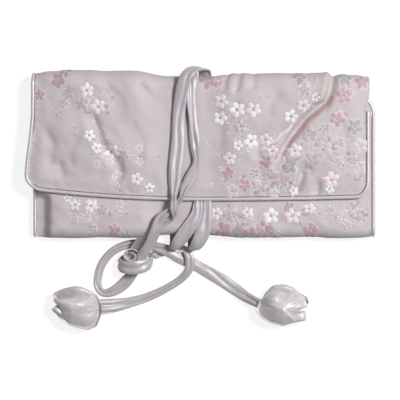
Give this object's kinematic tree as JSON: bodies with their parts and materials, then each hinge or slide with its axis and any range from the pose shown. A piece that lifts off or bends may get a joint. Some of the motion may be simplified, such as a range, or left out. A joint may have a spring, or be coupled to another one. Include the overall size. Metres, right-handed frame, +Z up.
{
  "type": "roll-up toiletry bag",
  "caption": "Padded satin brocade pouch folded in three, with zipped lining pockets, piped edge and a ribbon tie ending in fabric rosebuds.",
  "frame": {"origin": "on the surface that the pouch rests on, under the middle of the pouch without its tie", "axes": "+X along the pouch's length, +Y from the bottom fold to the top fold, +Z up out of the flap"},
  "size_m": [0.2212, 0.165, 0.0208],
  "materials": {
    "brocade": "pinkish grey satin brocade with woven blossoms",
    "piping_satin": "silvery satin-covered piping cord",
    "ribbon_satin": "silvery lilac satin ribbon",
    "lining_satin": "plain satin lining",
    "zip_tape": "woven zip tape with nylon coil",
    "zip_metal": "nickel-plated zip slider and pull"
  },
  "bodies": {
    "pouch": {"folded_sheet": "brocade", "edge_piping": "piping_satin", "back_pocket": "lining_satin", "front_pocket": "lining_satin", "back_zip_tape_upper": "zip_tape", "back_zip_tape_lower": "zip_tape", "front_zip_tape_upper": "zip_tape", "front_zip_tape_lower": "zip_tape", "tie_right_tail": "ribbon_satin", "tie_left_tail": "ribbon_satin", "rosebud_right": "ribbon_satin", "rosebud_left": "ribbon_satin"},
    "back_slider": {"back_zip_slider": "zip_metal", "back_zip_pull": "zip_metal"},
    "front_slider": {"front_zip_slider": "zip_metal", "front_zip_pull": "zip_metal"}
  },
  "joints": [
    {"name": "back_zip_slide", "type": "slide", "parent": "pouch", "child": "back_slider", "axis": [-1, 0, 0], "range_m": [0, 0.162]},
    {"name": "front_zip_slide", "type": "slide", "parent": "pouch", "child": "front_slider", "axis": [-1, 0, 0], "range_m": [0, 0.162]}
  ]
}
